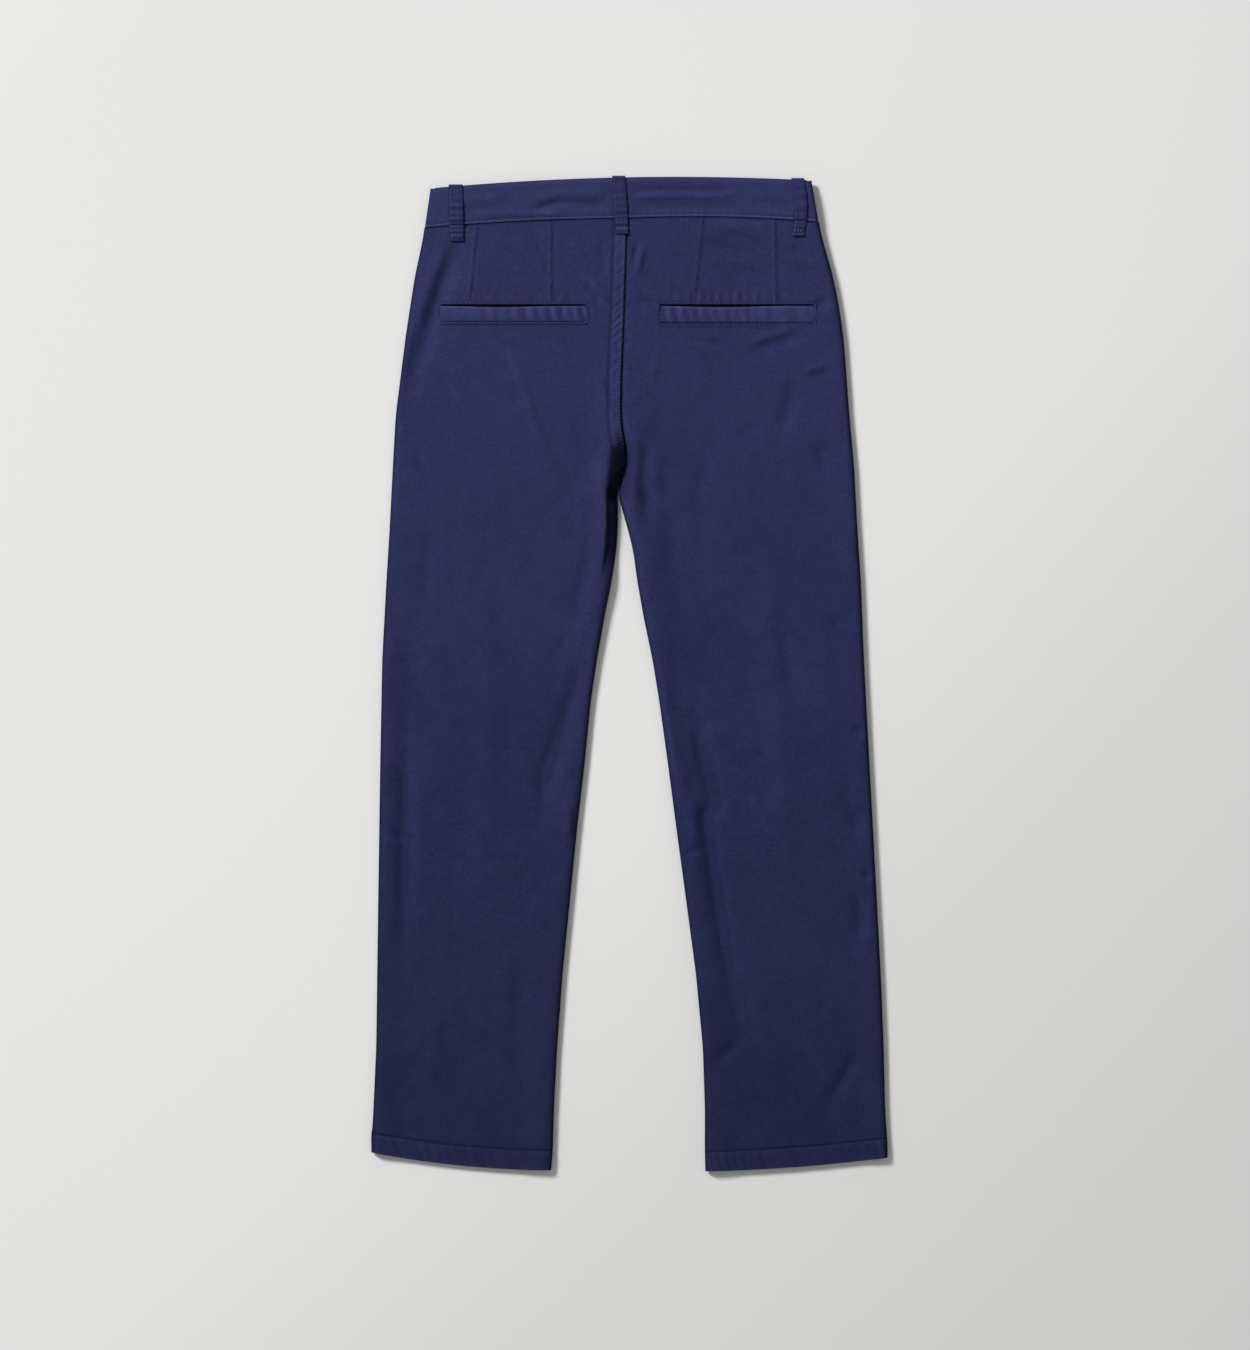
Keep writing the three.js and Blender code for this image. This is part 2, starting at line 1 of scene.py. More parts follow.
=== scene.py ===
import bpy
import json
import math
import numpy as np
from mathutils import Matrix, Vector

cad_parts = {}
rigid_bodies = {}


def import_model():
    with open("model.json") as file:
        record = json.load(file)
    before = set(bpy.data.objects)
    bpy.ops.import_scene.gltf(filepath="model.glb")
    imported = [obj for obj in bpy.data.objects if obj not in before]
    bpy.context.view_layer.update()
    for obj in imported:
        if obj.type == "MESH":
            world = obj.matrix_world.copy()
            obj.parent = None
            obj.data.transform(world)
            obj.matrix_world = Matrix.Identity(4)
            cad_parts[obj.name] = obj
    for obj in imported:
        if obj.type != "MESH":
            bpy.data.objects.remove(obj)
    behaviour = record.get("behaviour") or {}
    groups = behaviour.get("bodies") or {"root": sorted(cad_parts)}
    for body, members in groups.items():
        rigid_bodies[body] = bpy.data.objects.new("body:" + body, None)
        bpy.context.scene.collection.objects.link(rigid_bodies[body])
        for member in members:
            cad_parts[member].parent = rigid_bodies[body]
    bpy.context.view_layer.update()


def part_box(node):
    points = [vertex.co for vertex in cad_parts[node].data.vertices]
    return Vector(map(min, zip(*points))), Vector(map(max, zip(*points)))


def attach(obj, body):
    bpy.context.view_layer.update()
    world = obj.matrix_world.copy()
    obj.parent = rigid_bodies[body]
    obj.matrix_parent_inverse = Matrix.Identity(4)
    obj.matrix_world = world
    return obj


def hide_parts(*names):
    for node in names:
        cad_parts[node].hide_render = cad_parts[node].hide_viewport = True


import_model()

# ---- Camera: straight above the garment, as high as shows it whole with a margin of table.
camera_data = bpy.data.cameras.new("camera")
camera_data.sensor_fit = "VERTICAL"
camera_data.sensor_height = 24
view_distance = 3.2
view_height = 1.35
camera_data.lens = camera_data.sensor_height * view_distance / view_height
camera = bpy.data.objects.new("camera", camera_data)
camera.location = (-0.0045, -0.0015, 3.206)
bpy.context.collection.objects.link(camera)
bpy.context.scene.camera = camera

# ---- Back panels: navy cotton twill cut in two, joined down the seat by a seam with a stitched
# allowance on the left, darted under the waist, and folded to the fronts at the sides. They lie
# loosely on the fronts, so they carry the soft folds of a garment that was put down by hand.
navy = (0.0166, 0.0200, 0.0728, 1)
worn_navy = (0.056, 0.064, 0.178, 1)
# Painted shade: the dark colour the cloth is mixed towards in grooves, hollows and rolled edges.
painted_shade_navy = (0.0028, 0.0033, 0.014, 1)

# Edges in millimetres from the frame's origin: how far up, and where.
edges = {
    "left": {
        "side": [(-480, -258.5), (-464, -257.6), (-374, -253.5), (-226, -251.5), (-91, -249.5),
                 (14, -247.5), (93, -243.3), (146, -240), (206, -237), (259, -234), (294, -229.5),
                 (334, -224.5), (369, -219.2), (396, -215), (426, -208.5), (446, -204.7)],
        "inner": [(-497, -78.5), (-478, -76.7), (-438, -75.7), (-376, -72.5), (-301, -67),
                  (-226, -59.5), (-156, -52.5), (-91, -45), (-26, -38.5), (14, -32.5), (54, -25.5),
                  (94, -17.5), (124, -13), (149, -11.5), (169, -11.5), (184.5, -12), (192, -8),
                  (200, -4.5), (210, -2), (224, -3), (240, -6.5), (259, -8.3), (294, -7.7),
                  (334, -6.1), (369, -4.7), (434, -2.7), (455, -2)],
        "waist": (445.5, 455.0, 2.0), "hem": (-479.2, -496.8, -4.5),
        "pocket": (-188.0, -45.0, 352.2, 368.4),
    },
    "right": {
        "side": [(-485, 258.5), (-461, 257.3), (-434, 255.8), (-376, 254.5), (-301, 251.5),
                 (-226, 247.5), (-156, 243.8), (-91, 240.2), (14, 234.7), (94, 231.5), (147, 228),
                 (208, 224.8), (259, 220), (294, 217.5), (334, 214.5), (367, 209.8), (398, 203.5),
                 (431, 194), (451, 189)],
        "inner": [(-498, 76), (-479, 75.3), (-438, 75.5), (-376, 73.5), (-301, 66.5), (-226, 56.5),
                  (-156, 47), (-91, 38.5), (-26, 29.5), (14, 23), (54, 14.5), (94, 7.5), (124, 3.5),
                  (149, -3), (169, -9), (184.5, -12), (192, -8), (200, -4.5), (210, -2), (224, -3),
                  (240, -6.5), (259, -8.3), (294, -7.7), (334, -6.1), (369, -4.7), (434, -2.7),
                  (455, -2)],
        "waist": (451.0, 455.0, 3.3), "hem": (-484.3, -498.0, -2.6),
        "pocket": (31.5, 183.5, 351.0, 368.4),
    },
}
# Heights of the outer face: fold at the side, roll beside it, flat middle, roll beside the seat
# seam or inseam, and that seam.
height_rows = [
    (-498, 3.3, 6.5, 5.0, 6.5, 3.3), (-376, 3.3, 6.4, 4.6, 6.5, 3.3), (-156, 3.3, 6.6, 4.9, 6.8, 3.3),
    (-26, 3.3, 6.8, 5.2, 7.2, 3.3), (54, 3.3, 6.8, 5.6, 8.8, 3.3), (94, 3.3, 6.8, 5.8, 10.4, 3.3),
    (124, 3.3, 6.8, 5.9, 12.0, 3.3), (184, 3.3, 6.8, 6.0, 13.8, 3.3), (196, 3.3, 6.8, 6.0, 13.4, 3.8),
    (210, 3.3, 6.8, 6.0, 12.6, 4.6), (224, 3.3, 6.8, 6.0, 11.4, 5.2), (259, 3.3, 6.8, 6.0, 8.6, 5.8),
    (334, 3.5, 7.0, 6.4, 7.0, 6.2), (369, 3.8, 7.4, 6.8, 7.0, 6.6), (399, 4.4, 8.0, 7.2, 7.4, 7.0),
    (455, 6.0, 8.9, 8.4, 8.6, 8.3)]
# Soft folds, listed: millimetres of height, width, and the line each one follows. Every
# height is multiplied by fold_gain.
fold_gain = 1.75
folds = {
    "left": [
        (-2.0, 10, [(-166, 440), (-187, 390), (-205, 337), (-223, 265)]),
        (1.2, 7, [(-178, 440), (-200, 385), (-216, 330)]),
        (-1.3, 3.5, [(-47, 390), (-26, 369)]), (0.9, 4, [(-40, 395), (-20, 372)]),
        (0.6, 3, [(-140, 436), (-118, 424)]), (-0.6, 3, [(-100, 440), (-86, 420)]),
        (0.7, 3.5, [(-62, 432), (-40, 414)]), (-0.7, 4, [(-30, 434), (-24, 395)]),
        (0.6, 3.5, [(-135, 410), (-105, 398)]), (-0.7, 4, [(-190, 300), (-170, 270)]),
        (0.6, 4, [(-90, 330), (-60, 318)]), (-0.6, 3, [(-128, 330), (-100, 322)]),
        (0.8, 4, [(-30, 300), (-20, 262)]), (-0.8, 5, [(-215, 230), (-200, 190)]),
        (-0.7, 5, [(-230, 20), (-205, -20)]), (0.6, 4, [(-120, -60), (-98, -90)]),
        (0.7, 5, [(-120, 335), (-95, 250), (-70, 190)]),
        (-1.8, 9, [(-225, -37), (-224, -160), (-226, -287)]),
        (-0.9, 3.5, [(-241, -161), (-214, -167)]), (0.6, 3.5, [(-240, -168), (-218, -175)]),
        (-2.2, 10, [(-45, 20), (-56, -20), (-84, -110), (-88, -145)]),
        (1.2, 7, [(-63, -126), (-56, -163)]), (0.9, 5, [(-102, -230), (-80, -253)]),
        (-1.6, 9, [(-30, 225), (-36, 180), (-40, 110), (-60, 30)]),
        (0.9, 16, [(-150, 120), (-140, -60), (-150, -250)]),
        (-0.9, 10, [(-105, -280), (-115, -360), (-105, -430)]),
        (0.7, 8, [(-190, -330), (-200, -420)]), (-0.8, 8, [(-200, 160), (-205, 60)]),
    ],
    "right": [
        (1.3, 7, [(73, 437), (105, 447), (134, 437), (155, 415), (195, 405)]),
        (-1.1, 6, [(117, 320), (174, 338)]), (0.8, 4, [(120, 330), (170, 347)]),
        (-0.8, 3, [(8, 432), (3, 408)]), (0.9, 3.5, [(14, 428), (8, 398)]),
        (-0.7, 4, [(84, 430), (118, 418)]), (0.7, 3.5, [(96, 415), (128, 405)]),
        (-0.8, 4, [(160, 425), (186, 412)]), (0.7, 3.5, [(28, 400), (44, 385)]),
        (-0.6, 3, [(60, 335), (96, 328)]), (0.6, 4, [(30, 330), (24, 290)]),
        (-0.6, 4, [(130, 250), (100, 230)]), (0.6, 4, [(60, 60), (90, 40)]),
        (-0.7, 5, [(200, 60), (222, 30)]), (0.7, 4, [(120, -120), (142, -150)]),
        (-1.0, 8, [(167, 295), (151, 233)]),
        (-1.2, 7, [(190, 231), (196, 196)]), (0.9, 3.5, [(173, 301), (201, 309)]),
        (-0.7, 3.5, [(175, 296), (203, 303)]), (-1.0, 5, [(183, 365), (201, 374)]),
        (-0.8, 5, [(6, 371), (30, 369)]),
        (-2.3, 9, [(44, 15), (51, -38), (69, -56), (87, -128), (77, -146), (88, -217), (99, -288),
                   (110, -360)]),
        (1.0, 8, [(30, 10), (40, -60), (62, -140), (70, -220)]),
        (-0.9, 3.5, [(51, -184), (74, -173)]), (-1.4, 5, [(222, -54), (236, -63)]),
        (-1.6, 7, [(212, -110), (226, -140), (230, -166)]), (-1.4, 4, [(232, -200), (243, -205)]),
        (-1.6, 8, [(230, -216), (231, -270)]), (-1.3, 7, [(230, -378), (199, -430)]),
        (-1.2, 6, [(109, -369), (87, -388)]), (-2.6, 8, [(18, 238), (14, 195), (20, 150)]),
        (0.8, 14, [(140, 120), (150, -60), (165, -240)]), (-0.8, 9, [(150, 60), (165, -30)]),
        (0.7, 9, [(120, -300), (150, -420)]), (-0.7, 9, [(90, 260), (70, 180), (75, 90)]),
    ],
}
# Darts, from the waist seam down to their points.
darts = {"left": [((-152, 448), (-159.5, 371)), ((-77.5, 451), (-77.5, 370))],
         "right": [((74.5, 456), (65.5, 370)), ((146, 453), (147.5, 368))]}
# The left and right ends of the waist seam and of the band's top edge, and the seat seam's top.
waist_ends = (-204.7, 189.0)
band_ends = (-199, 182)
waist_centre = -2


def edge(side, which, y):
    rows = np.array(edges[side][which])
    near = [np.interp(y + step, rows[:, 0], rows[:, 1]) for step in (-9, -4, 0, 4, 9)]
    return sum(near) / 5


def seam_down(y):
    return edge("left", "inner", y)


def step(t):
    t = np.clip(t, 0, 1)
    return t * t * (3 - 2 * t)


def along(x, y, points):
    # Distance to a line of points, and how far along it the nearest place is, from 0 to 1.
    lengths = [math.dist(a, b) for a, b in zip(points, points[1:])]
    best, place, done = np.full_like(x, 1e6), np.zeros_like(x), 0
    for (ax, ay), (bx, by), size in zip(points, points[1:], lengths):
        t = np.clip(((x - ax) * (bx - ax) + (y - ay) * (by - ay)) / size ** 2, 0, 1)
        gap = np.hypot(x - ax - t * (bx - ax), y - ay - t * (by - ay))
        place = np.where(gap < best, (done + t * size) / sum(lengths), place)
        best = np.minimum(best, gap)
        done += size
    return best, place


def drawn(s, pitch, seed=0.0):
    # The ripple of cloth drawn in by a line of stitches: no two of its waves are alike.
    wave = np.sin(2 * math.pi * s / pitch + 2.2 * np.sin(s / (2.3 * pitch) + seed))
    swell = 0.55 + 0.45 * np.sin(s / (3.1 * pitch) + 2 * seed + 1)
    return wave * swell + 0.3 * np.sin(s / pitch * 3.7 + seed)


def back_height(side, x, y):
    # The outer face over the plan, in millimetres, with how worn it is (+) and painted shade (-).
    rows = np.array(height_rows)
    fold, ridge, middle, fork, seam = (np.interp(y, rows[:, 0], rows[:, k]) for k in range(1, 6))
    d = np.maximum(0, np.abs(x - edge(side, "side", y)))
    e = np.maximum(0, np.abs(x - edge(side, "inner", y)))
    z = fold + (ridge - fold) * np.sqrt(1 - (1 - np.clip(d / 6, 0, 1)) ** 2)
    z = np.where(d > 6, ridge + (middle - ridge) * step((d - 6) / 24), z)
    roll = 4 + 0.9 * (fork - seam)
    rise = seam + (fork - seam) * np.sqrt(1 - (1 - np.clip(e / roll, 0, 1)) ** 2)
    rise = np.where(e > roll, fork + (middle - fork) * step((e - roll) / 34), rise)
    near = roll + 34
    z = np.where(e < near, rise + (z - middle) * (d < 40), z)
    calm = step(d / 9) * step(e / 9)
    for height, width, points in folds[side]:
        gap, place = along(x, y, points)
        ends = 0.2 + 0.8 * step(place / 0.3) * step((1 - place) / 0.3)
        z = z + fold_gain * height * np.exp(-(gap / width) ** 2) * ends * calm
    z = z + calm * 0.12 * np.sin(x / 5.3 + 2 * np.sin(y / 21)) * np.sin(y / 8.1 + 1.7 * np.sin(x / 17))
    z = z + calm * 0.35 * np.sin(x / 31 + 1.3 * np.sin(y / 47)) * np.sin(y / 53 + 0.8)
    # Painted shade: dark lines along the folds at the side and the inseam, where the cloth rolls under.
    wear_and_shade = -0.95 * np.exp(-(d / 2.2) ** 2) - 0.8 * np.exp(-(e / 2.0) ** 2) * step((184 - y) / 8)
    # The crotch sinks between the thighs, where the four seams meet, and the hollow is painted with shade.
    gap, place = along(x, y, [(-5, 240), (-8, 212), (-11, 184)])
    z = z - 6.0 * np.exp(-(gap / 9) ** 2) * step(place / 0.45)
    wear_and_shade = wear_and_shade - (1.4 if side == "left" else 0.4) * step((16 - gap) / 9) * step(place / 0.5)
    # Painted shade: a dark strip along the left inseam above the crotch, where the cloth lies lower.
    if side == "left":
        tucked = step((12 - e) / 2.5) * step((y - 88) / 40) * step((188 - y) / 6)
        z, wear_and_shade = z - 4 * tucked, wear_and_shade - 0.8 * tucked
    # The seat seam: a stitched allowance 12 mm wide on the left, drawn into slanting puckers, worn pale on
    # their crests and beside the seam, with painted shade in the seam and beyond the allowance.
    seat = step((y - 190) / 10)
    if side == "left":
        band = step((13 - e) / 2.5) * seat
        pucker = drawn(y + 0.9 * e, 8.6)
        z = z + band * (0.6 + 0.5 * pucker * np.exp(-((e - 7) / 5) ** 2))
        for line in (2.0, 10.3):
            z = z - 0.45 * seat * np.exp(-((e - line) / 0.9) ** 2)
        wear_and_shade = wear_and_shade + band * (0.08 + 0.15 * pucker) + 0.45 * seat * np.exp(-((e - 3.4) / 0.9) ** 2)
        wear_and_shade = wear_and_shade - 0.5 * seat * np.exp(-((e - 14) / 1.2) ** 2)
    else:
        pucker = drawn(y - 0.7 * e, 10.4, 1.0)
        z = z + 0.3 * seat * pucker * np.exp(-(e / 9) ** 2)
    z = z - 1.1 * seat * np.exp(-(e / 1.1) ** 2)
    wear_and_shade = wear_and_shade - 0.95 * seat * np.exp(-(e / 1.3) ** 2)
    # Darts: a fine ridge pressed to one side, worn pale on the ridge, with painted shade in the crease.
    for (ax, ay), (bx, by) in darts[side]:
        t = np.clip((ay - y) / (ay - by), 0, 1)
        gap = x - (ax + (bx - ax) * t)
        here = step((y - by) / 6)
        z = z + here * (0.35 * np.exp(-((gap + 1.2) / 1.6) ** 2) - 0.5 * np.exp(-(gap / 0.9) ** 2))
        wear_and_shade = wear_and_shade - 0.55 * here * np.exp(-(gap / 1.0) ** 2)
        wear_and_shade = wear_and_shade + 0.18 * here * np.exp(-((gap + 1.8) / 1.2) ** 2)
    # Pocket: the cloth is drawn in above and below it and stands in a stitched frame, worn pale on the drawn
    # ridges and the frame, with painted shade at the window's edge and along the stitching.
    x0, x1, y0, y1 = edges[side]["pocket"]
    across = step((x - x0 - 6) / 20) * step((x1 - 6 - x) / 20)
    pull = drawn(x, 10.5, 0.6 if side == "left" else 2.1) * across
    above = np.exp(-((y - y1 - 6) / 7) ** 2) * (y > y1 - 1)
    below = np.exp(-((y - y0 + 4) / 5) ** 2) * (y < y0 + 1)
    z = z + 0.6 * pull * above + 0.22 * pull * below
    wear_and_shade = wear_and_shade + 0.14 * pull * above
    out_x = np.maximum(np.maximum(x0 - x, x - x1), 0)
    out_y = np.maximum(np.maximum(y0 - y, y - y1), 0)
    rim = np.hypot(out_x, out_y)
    z = z + 0.5 * np.exp(-((rim - 1.6) / 1.5) ** 2) - 0.7 * np.exp(-(rim / 0.7) ** 2)
    wear_and_shade = wear_and_shade + 0.25 * np.exp(-((rim - 1.2) / 0.8) ** 2) - 1.3 * np.exp(-(rim / 0.9) ** 2)
    wear_and_shade = wear_and_shade - 0.35 * np.exp(-((rim - 3.4) / 0.6) ** 2)
    # Waist seam: the panel goes under the band's lower edge, with painted shade along it.
    waist = waist_seam(x)
    z = z - 0.9 * np.exp(-((waist - y) / 1.6) ** 2)
    wear_and_shade = wear_and_shade - 0.9 * np.exp(-((waist - y) / 1.5) ** 2)
    # Hem: a turned-up allowance 18 mm deep, stitched near its top and drawn into short puckers, worn pale at
    # its fold, with painted shade in the step above it.
    hem = hem_line(side, x)
    up = y - hem
    band = step((19.5 - up) / 2)
    ripple = drawn(x + 0.25 * up, 9.4, 0.3 if side == "left" else 1.7)
    z = z + band * (0.55 + 0.3 * ripple * np.exp(-((up - 14) / 7) ** 2))
    z = z - 0.55 * np.exp(-((up - 18.4) / 0.9) ** 2) - 0.5 * np.exp(-(up / 1.2) ** 2)
    wear_and_shade = wear_and_shade + band * (0.03 + 0.08 * ripple) + 0.3 * np.exp(-((up - 1.2) / 1.0) ** 2)
    wear_and_shade = wear_and_shade - 0.6 * np.exp(-((up - 20.3) / 1.0) ** 2)
    return np.maximum(z, 2.3), wear_and_shade


def waist_seam(x):
    left, right = edges["left"]["waist"], edges["right"]["waist"]
    a = np.clip((x - waist_ends[0]) / (waist_centre - waist_ends[0]), 0, 1)
    b = np.clip((waist_ends[1] - x) / (waist_ends[1] - waist_centre), 0, 1)
    on_left = left[0] + (left[1] - left[0]) * a + left[2] * 4 * a * (1 - a)
    on_right = right[0] + (right[1] - right[0]) * b + right[2] * 4 * b * (1 - b)
    return np.where(x < waist_centre, on_left, on_right)


def hem_line(side, x):
    outer, inner, bow = edges[side]["hem"]
    a = np.clip((np.abs(x) - 76) / 182, 0, 1)
    return inner + (outer - inner) * a + bow * 4 * a * (1 - a)


def clear():
    if bpy.context.object and bpy.context.object.mode != "OBJECT":
        bpy.ops.object.mode_set(mode="OBJECT")
    bpy.ops.object.select_all(action="DESELECT")


def cloth(name, columns, rows, place, wall, material, smooth=60, hole=None, under=False):
    # A plane is divided, its points are laid where the cloth lies, and it gets its thickness.
    clear()
    bpy.ops.mesh.primitive_grid_add(x_subdivisions=len(columns) - 1, y_subdivisions=len(rows) - 1,
                                    size=2)
    piece = bpy.context.object
    piece.name = piece.data.name = name
    grid = np.empty(len(piece.data.vertices) * 3)
    piece.data.vertices.foreach_get("co", grid)
    i = np.rint((grid[0::3] + 1) / 2 * (len(columns) - 1)).astype(int)
    j = np.rint((grid[1::3] + 1) / 2 * (len(rows) - 1)).astype(int)
    x, y, z, wear_and_shade = place(np.array(columns)[i], np.array(rows)[j])
    piece.data.vertices.foreach_set("co", (np.column_stack([x, y, z]) / 1000).ravel())
    # The attribute holds real wear (+) and painted shade (-) for the twill material.
    mark = piece.data.attributes.new("wear_and_shade", "FLOAT", "POINT")
    mark.data.foreach_set("value", np.asarray(wear_and_shade, dtype=float))
    if hole:
        bpy.ops.object.mode_set(mode="EDIT")
        bpy.ops.mesh.select_mode(type="FACE")
        bpy.ops.mesh.select_all(action="DESELECT")
        bpy.ops.object.mode_set(mode="OBJECT")
        x0, x1, y0, y1 = (value / 1000 for value in hole)
        for face in piece.data.polygons:
            c = face.center
            face.select = x0 < c.x < x1 and y0 < c.y < y1
        bpy.ops.object.mode_set(mode="EDIT")
        bpy.ops.mesh.delete(type="FACE")
    bpy.ops.object.mode_set(mode="OBJECT")
    up = sum(face.normal.z for face in piece.data.polygons) > 0
    if up == under:
        bpy.ops.object.mode_set(mode="EDIT")
        bpy.ops.mesh.select_all(action="SELECT")
        bpy.ops.mesh.flip_normals()
        bpy.ops.object.mode_set(mode="OBJECT")
    solid = piece.modifiers.new("wall", "SOLIDIFY")
    solid.thickness = wall / 1000
    solid.offset = -1
    bpy.ops.object.modifier_apply(modifier="wall")
    bpy.ops.object.shade_smooth_by_angle(angle=math.radians(smooth))
    piece.data.materials.append(material)
    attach(piece, "root")
    return piece


def twill_group():
    # Steep twill lines, the yarns' own unevenness, fading on what stands proud, and painted shade in
    # grooves, hollows and rolled edges.
    group = bpy.data.node_groups.new("Twill", "ShaderNodeTree")
    face = group.interface
    for socket, kind, start in (("Cloth", "NodeSocketColor", navy),
                                ("Worn", "NodeSocketColor", worn_navy),
                                ("Shade", "NodeSocketColor", painted_shade_navy),
                                ("Pitch", "NodeSocketFloat", 900.0),
                                ("Fading and shade", "NodeSocketFloat", 1.0)):
        made = face.new_socket(name=socket, in_out="INPUT", socket_type=kind)
        made.default_value = start
    for socket, kind in (("Color", "NodeSocketColor"), ("Roughness", "NodeSocketFloat"),
                         ("Height", "NodeSocketFloat")):
        face.new_socket(name=socket, in_out="OUTPUT", socket_type=kind)
    add, link = group.nodes.new, group.links.new
    given, result = add("NodeGroupInput"), add("NodeGroupOutput")
    place, wear_and_shade = add("ShaderNodeTexCoord"), add("ShaderNodeAttribute")
    wear_and_shade.attribute_name = "wear_and_shade"

    def noise(scale, detail):
        node = add("ShaderNodeTexNoise")
        node.inputs["Scale"].default_value = scale
        node.inputs["Detail"].default_value = detail
        link(place.outputs["Object"], node.inputs["Vector"])
        return node.outputs["Fac"]

    def math_node(operation, a, b):
        node = add("ShaderNodeMath")
        node.operation = operation
        for k, value in enumerate((a, b)):
            if isinstance(value, (int, float)):
                node.inputs[k].default_value = value
            else:
                link(value, node.inputs[k])
        return node.outputs[0]

    def mix(factor, a, b):
        node = add("ShaderNodeMix")
        node.data_type = "RGBA"
        link(factor, node.inputs["Factor"])
        link(a, node.inputs["A"])
        link(b, node.inputs["B"])
        return node.outputs["Result"]

    turned = add("ShaderNodeMapping")
    turned.inputs["Rotation"].default_value = (0, 0, math.radians(27))
    link(place.outputs["Object"], turned.inputs["Vector"])
    lines = add("ShaderNodeTexWave")
    lines.inputs["Distortion"].default_value = 1.6
    lines.inputs["Detail"].default_value = 1
    lines.inputs["Detail Scale"].default_value = 2
    link(turned.outputs["Vector"], lines.inputs["Vector"])
    link(math_node("DIVIDE", given.outputs["Pitch"], 3.14), lines.inputs["Scale"])
    broad = math_node("MULTIPLY", noise(9, 3), 0.28)
    patchy = math_node("MULTIPLY", noise(70, 2), 0.22)
    fade = math_node("ADD", broad, patchy)
    fine = math_node("MULTIPLY", noise(340, 3), 0.46)
    yarn = math_node("MULTIPLY", lines.outputs["Fac"], 0.16)
    tone = math_node("ADD", math_node("ADD", fade, fine), yarn)
    tone = math_node("MULTIPLY", math_node("SUBTRACT", tone, 0.47), 1.1)
    # One gain scales wear, painted shade and tone together.
    level = math_node("MULTIPLY", math_node("ADD", wear_and_shade.outputs["Fac"], tone), given.outputs["Fading and shade"])
    proud = math_node("MAXIMUM", level, 0)
    # Painted shade where the attribute is negative; wear where it is positive.
    painted_shade_level = math_node("MULTIPLY", math_node("MINIMUM", level, 0), -1)
    colour = mix(proud, given.outputs["Cloth"], given.outputs["Worn"])
    colour = mix(painted_shade_level, colour, given.outputs["Shade"])
    # Painted shade: the cloth darkens towards the hems, as the lamp's light falls off.
    split = add("ShaderNodeSeparateXYZ")
    link(place.outputs["Object"], split.inputs["Vector"])
    hem_shade_ramp = add("ShaderNodeMapRange")
    hem_shade_ramp.inputs["From Min"].default_value, hem_shade_ramp.inputs["From Max"].default_value = 0.25, -0.5
    link(split.outputs["Y"], hem_shade_ramp.inputs["Value"])
    hem_shade = add("ShaderNodeMix")
    hem_shade.data_type, hem_shade.blend_type = "RGBA", "MULTIPLY"
    hem_shade.inputs["B"].default_value = (0.6, 0.64, 0.66, 1)
    link(hem_shade_ramp.outputs["Result"], hem_shade.inputs["Factor"])
    link(colour, hem_shade.inputs["A"])
    colour = hem_shade.outputs["Result"]
    link(colour, result.inputs["Color"])
    rough = math_node("ADD", math_node("MULTIPLY", fine, 0.3), 0.83)
    link(rough, result.inputs["Roughness"])
    ribs = math_node("MULTIPLY", lines.outputs["Fac"], 0.6)
    height = math_node("ADD", ribs, math_node("MULTIPLY", fine, 2.0))
    link(height, result.inputs["Height"])
    return group


twill = twill_group()


def twill_material(name, cloth_colour=navy, fading_and_shade=1.0, bump=0.00012, shade=painted_shade_navy):
    material = bpy.data.materials.new(name)
    material.use_nodes = True
    nodes, links = material.node_tree.nodes, material.node_tree.links
    shader = nodes["Principled BSDF"]
    weave = nodes.new("ShaderNodeGroup")
    weave.node_tree = twill
    weave.inputs["Cloth"].default_value = cloth_colour
    weave.inputs["Shade"].default_value = shade
    weave.inputs["Fading and shade"].default_value = fading_and_shade
    links.new(weave.outputs["Color"], shader.inputs["Base Color"])
    links.new(weave.outputs["Roughness"], shader.inputs["Roughness"])
    relief = nodes.new("ShaderNodeBump")
    relief.inputs["Distance"].default_value = bump
    relief.inputs["Strength"].default_value = 0.8
    links.new(weave.outputs["Height"], relief.inputs["Height"])
    links.new(relief.outputs["Normal"], shader.inputs["Normal"])
    shader.inputs["Sheen Weight"].default_value = 0.05
    shader.inputs["Sheen Roughness"].default_value = 0.4
    shader.inputs["Sheen Tint"].default_value = (0.45, 0.5, 0.9, 1)
    shader.inputs["Specular IOR Level"].default_value = 0.12
    return material


panel_twill = twill_material("panel twill")
fine_rows = [*np.arange(455, 330, -1.8), *np.arange(330, -450, -3.2), *np.arange(-450, -498, -1.6)]
for side in ("left", "right"):
    x0, x1, y0, y1 = edges[side]["pocket"]
    levels = sorted({*(v for v in fine_rows if min(abs(v - y0), abs(v - y1)) > 1), y0, y1, -497.0})
    middle = (y0 + y1) / 2
    a, b = (float(edge(side, which, middle)) for which in ("side", "inner"))
    shares = [(x - a) / (b - a) for x in (x0, x1)]
    width = abs(b - a)
    spaced = [*np.arange(0, 10, 1.3), *np.arange(10, width - 18, 2.15), *np.arange(width - 18, width, 1.3)]
    spaced = [s / width for s in spaced if min(abs(s - q * width) for q in shares) > 0.9]
    columns = sorted({*spaced, *shares, 1.0})

    def lay(u, level, side=side):
        x = edge(side, "side", level) + u * (edge(side, "inner", level) - edge(side, "side", level))
        top = step((level - 395) / 60)
        low = step((-430 - level) / 67)
        y = level + top * (waist_seam(x) - 455) + low * (hem_line(side, x) + 497)
        x = edge(side, "side", y) + u * (edge(side, "inner", y) - edge(side, "side", y))
        z, wear_and_shade = back_height(side, x, y)
        return x, y, z, wear_and_shade

    panel = cloth("back_panel_" + side, columns, levels, lay, 0.9, panel_twill, hole=(x0, x1, y0, y1))
    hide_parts("back_" + side)

